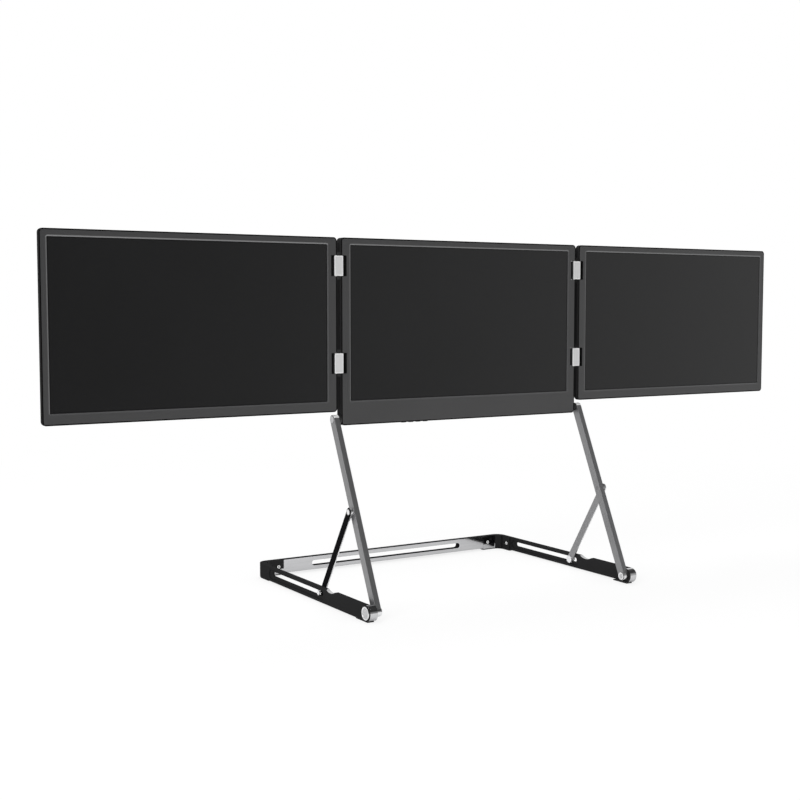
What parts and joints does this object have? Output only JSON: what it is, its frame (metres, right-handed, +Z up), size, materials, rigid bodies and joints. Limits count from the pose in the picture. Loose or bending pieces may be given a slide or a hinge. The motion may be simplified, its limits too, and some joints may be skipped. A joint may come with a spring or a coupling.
{
  "type": "laptop screen extender",
  "caption": "Free-standing laptop screen extender: flat displays side by side, hinged together, on braced legs that fold down into a slotted U-shaped base.",
  "frame": {"origin": "on the floor under the middle of the base", "axes": "+X to the viewer's right along the row of displays, +Y from front to back, +Z up"},
  "size_m": [1.1158, 0.3134, 0.4582],
  "materials": {
    "base_black": "satin black lacquer",
    "foot_rubber": "matt",
    "polished_steel": "polished",
    "plain_steel": "satin",
    "washer_black": "matt",
    "leg_grey": "satin anodised",
    "brace_silver": "satin anodised",
    "brace_black": "gloss black",
    "hinge_silver": "satin with bright edges",
    "bezel_grey": "fine matt",
    "shell_black": "satin anodised black",
    "screen_glass": "dark, switched off, slightly glossy",
    "backlight_white": "satin",
    "board_green": "solder mask",
    "speaker_black": "matt",
    "button_black": "satin"
  },
  "bodies": {
    "base": {"base_feet": "foot_rubber", "corner_screws": "polished_steel", "left_arm": "base_black", "left_corner": "base_black", "leg_pin_caps": "polished_steel", "leg_pins": "polished_steel", "rear_beam": "base_black", "right_arm": "base_black", "right_corner": "base_black"},
    "legs": {"brace_pins": "polished_steel", "brace_washers": "plain_steel", "left_leg_bar": "leg_grey", "right_leg_bar": "leg_grey"},
    "left_brace": {"left_brace_bar": "brace_silver", "left_brace_cover": "brace_black", "left_brace_foot": "polished_steel"},
    "right_brace": {"right_brace_bar": "brace_silver", "right_brace_cover": "brace_black", "right_brace_foot": "polished_steel"},
    "centre_screen": {"button_board": "board_green", "centre_backlight": "backlight_white", "centre_bezel": "bezel_grey", "centre_display": "screen_glass", "centre_hinge_brackets": "plain_steel", "centre_rear_housing": "shell_black", "centre_screws": "plain_steel", "controller_board": "board_green", "port_sockets": "plain_steel", "speakers": "speaker_black", "tilt_brackets": "plain_steel", "tilt_pins": "plain_steel", "tilt_washers": "washer_black"},
    "left_links": {"left_hinge_pins": "plain_steel", "left_lower_link": "hinge_silver", "left_upper_link": "hinge_silver"},
    "left_wing": {"left_wing_backlight": "backlight_white", "left_wing_bezel": "bezel_grey", "left_wing_board": "board_green", "left_wing_brackets": "plain_steel", "left_wing_display": "screen_glass", "left_wing_housing": "shell_black", "left_wing_screws": "plain_steel"},
    "right_links": {"right_hinge_pins": "plain_steel", "right_lower_link": "hinge_silver", "right_upper_link": "hinge_silver"},
    "right_wing": {"right_wing_backlight": "backlight_white", "right_wing_bezel": "bezel_grey", "right_wing_board": "board_green", "right_wing_brackets": "plain_steel", "right_wing_display": "screen_glass", "right_wing_housing": "shell_black", "right_wing_screws": "plain_steel"},
    "power_button_key": {"power_button": "button_black"},
    "menu_button_key": {"menu_button": "button_black"},
    "minus_button_key": {"minus_button": "button_black"},
    "plus_button_key": {"plus_button": "button_black"}
  },
  "joints": [
    {"name": "leg_fold", "type": "hinge", "parent": "base", "child": "legs", "pos_m": [0, -0.14695, 0.0112], "axis": [1, 0, 0], "range_deg": [-48, 0]},
    {"name": "screen_tilt", "type": "hinge", "parent": "legs", "child": "centre_screen", "pos_m": [0, -0.04483, 0.23313], "axis": [-1, 0, 0], "range_deg": [-90, 25]},
    {"name": "left_brace_swing", "type": "hinge", "parent": "legs", "child": "left_brace", "pos_m": [0, -0.09486, 0.12439], "axis": [1, 0, 0], "range_deg": [0, 92]},
    {"name": "right_brace_swing", "type": "hinge", "parent": "legs", "child": "right_brace", "pos_m": [0, -0.09486, 0.12439], "axis": [1, 0, 0], "range_deg": [0, 92]},
    {"name": "left_link_fold", "type": "hinge", "parent": "centre_screen", "child": "left_links", "pos_m": [-0.184, -0.04513, 0.36313], "axis": [0, 0, 1], "range_deg": [-20, 90]},
    {"name": "left_wing_fold", "type": "hinge", "parent": "left_links", "child": "left_wing", "pos_m": [-0.193, -0.04513, 0.36313], "axis": [0, 0, 1], "range_deg": [-20, 90]},
    {"name": "right_link_fold", "type": "hinge", "parent": "centre_screen", "child": "right_links", "pos_m": [0.184, -0.04513, 0.36313], "axis": [0, 0, 1], "range_deg": [-90, 20]},
    {"name": "right_wing_fold", "type": "hinge", "parent": "right_links", "child": "right_wing", "pos_m": [0.193, -0.04513, 0.36313], "axis": [0, 0, 1], "range_deg": [-90, 20]},
    {"name": "power_press", "type": "slide", "parent": "centre_screen", "child": "power_button_key", "axis": [0, 0, 1], "range_m": [0, 0.0005], "stiffness_N_per_m": 1500},
    {"name": "menu_press", "type": "slide", "parent": "centre_screen", "child": "menu_button_key", "axis": [0, 0, 1], "range_m": [0, 0.0005], "stiffness_N_per_m": 1500},
    {"name": "minus_press", "type": "slide", "parent": "centre_screen", "child": "minus_button_key", "axis": [0, 0, 1], "range_m": [0, 0.0005], "stiffness_N_per_m": 1500},
    {"name": "plus_press", "type": "slide", "parent": "centre_screen", "child": "plus_button_key", "axis": [0, 0, 1], "range_m": [0, 0.0005], "stiffness_N_per_m": 1500}
  ],
  "couplings": [
    {"joint": "left_brace_swing", "follows": "leg_fold", "ratio": -1.8685},
    {"joint": "right_brace_swing", "follows": "leg_fold", "ratio": -1.8685}
  ]
}
